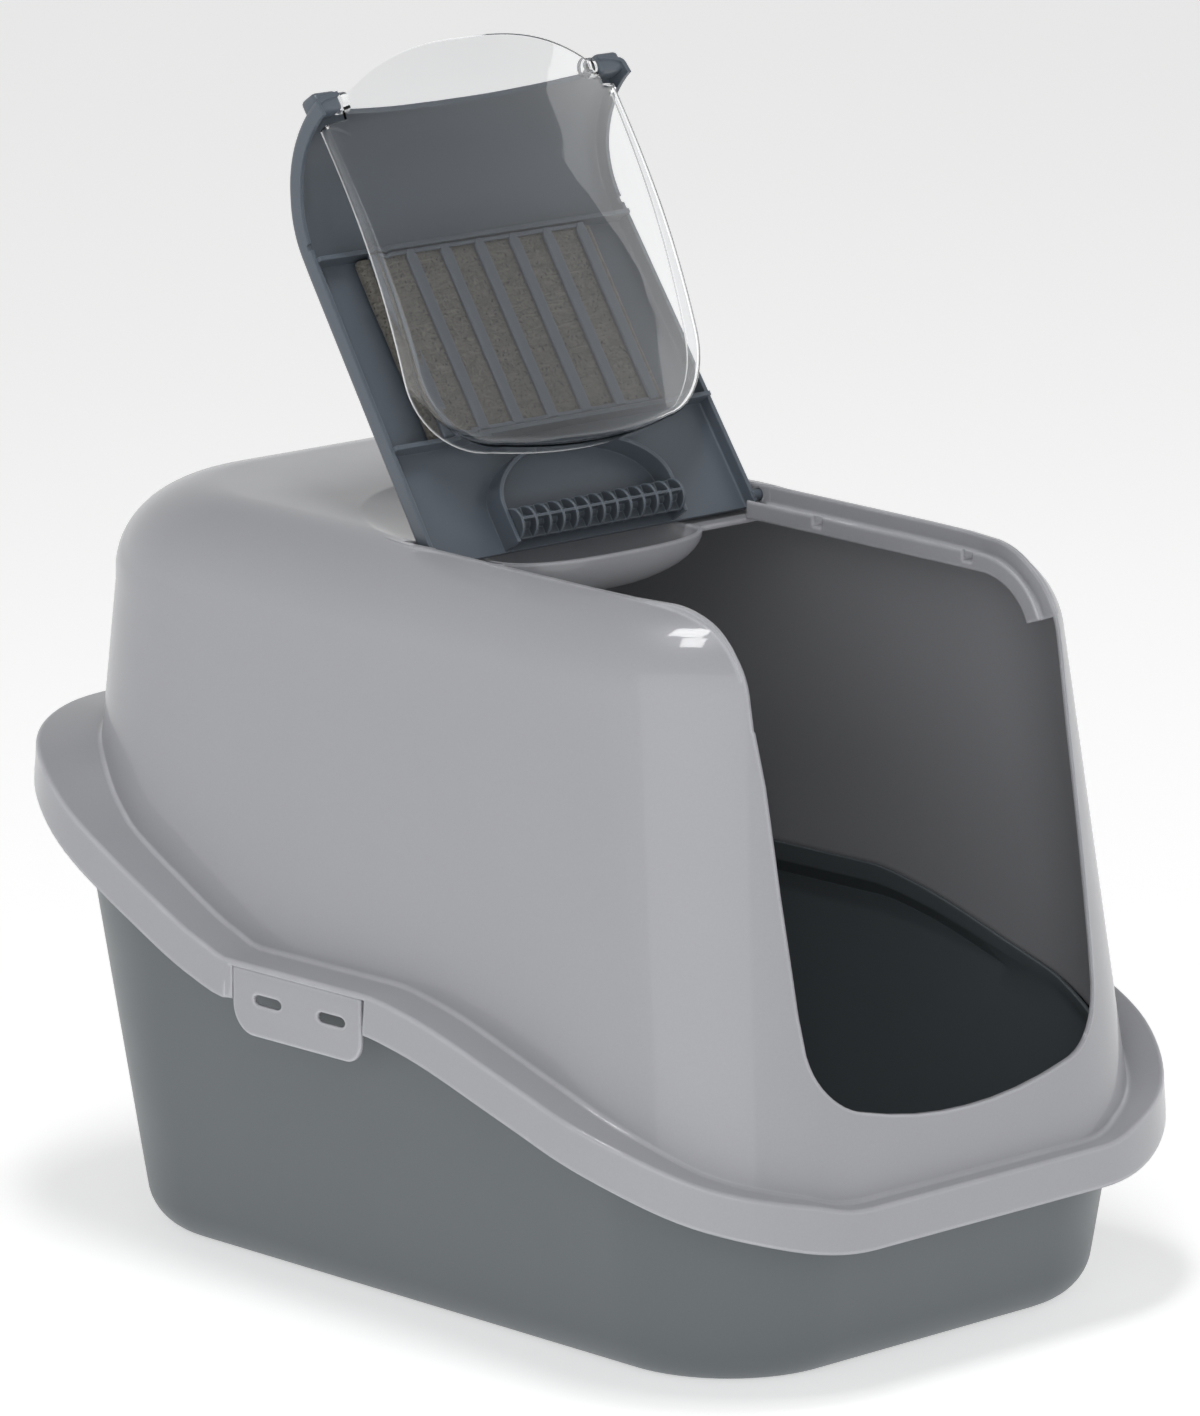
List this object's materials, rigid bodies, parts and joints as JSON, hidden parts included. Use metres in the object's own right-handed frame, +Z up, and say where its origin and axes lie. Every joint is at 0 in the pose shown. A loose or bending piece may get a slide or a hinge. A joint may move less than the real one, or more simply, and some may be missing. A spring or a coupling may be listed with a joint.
{
  "type": "hooded cat litter box",
  "caption": "Hooded cat litter tray with sloping rim, lift-off hood, flip-up lid that carries a filter and a clear swinging flap, and hinged side clips.",
  "frame": {"origin": "on the floor, under the middle of the flange's plan", "axes": "+Z up, -Y towards the doorway, X across the width"},
  "size_m": [0.39, 0.56, 0.6116],
  "materials": {
    "tray_slate": "satin moulded plastic",
    "hood_grey": "semi-gloss moulded plastic",
    "lid_slate": "satin moulded plastic",
    "door_clear": "clear, polished",
    "filter_felt": "coarse felt"
  },
  "bodies": {
    "tray": {"tray": "tray_slate"},
    "hood": {"hood": "hood_grey"},
    "lid": {"lid": "lid_slate", "carry_grip": "lid_slate", "filter_grille": "lid_slate", "carbon_filter": "filter_felt"},
    "door": {"door_flap": "door_clear"},
    "clip_left": {"side_clip_left": "hood_grey"},
    "clip_right": {"side_clip_right": "hood_grey"}
  },
  "joints": [
    {"name": "hood_lift", "type": "slide", "parent": "tray", "child": "hood", "axis": [0, 0, 1], "range_m": [0, 0.25]},
    {"name": "lid_hinge", "type": "hinge", "parent": "hood", "child": "lid", "pos_m": [0, 0, 0.375], "axis": [1, 0, 0], "range_deg": [0, 125]},
    {"name": "door_pivot", "type": "hinge", "parent": "lid", "child": "door", "pos_m": [0, 0.09424, 0.58732], "axis": [1, 0, 0], "range_deg": [-120, 0]},
    {"name": "clip_left_hinge", "type": "hinge", "parent": "hood", "child": "clip_left", "pos_m": [-0.1918, 0.0109, 0.1685], "axis": [0, 1, 0], "range_deg": [0, 12]},
    {"name": "clip_right_hinge", "type": "hinge", "parent": "hood", "child": "clip_right", "pos_m": [0.1918, 0.0109, 0.1685], "axis": [0, -1, 0], "range_deg": [0, 12]}
  ]
}
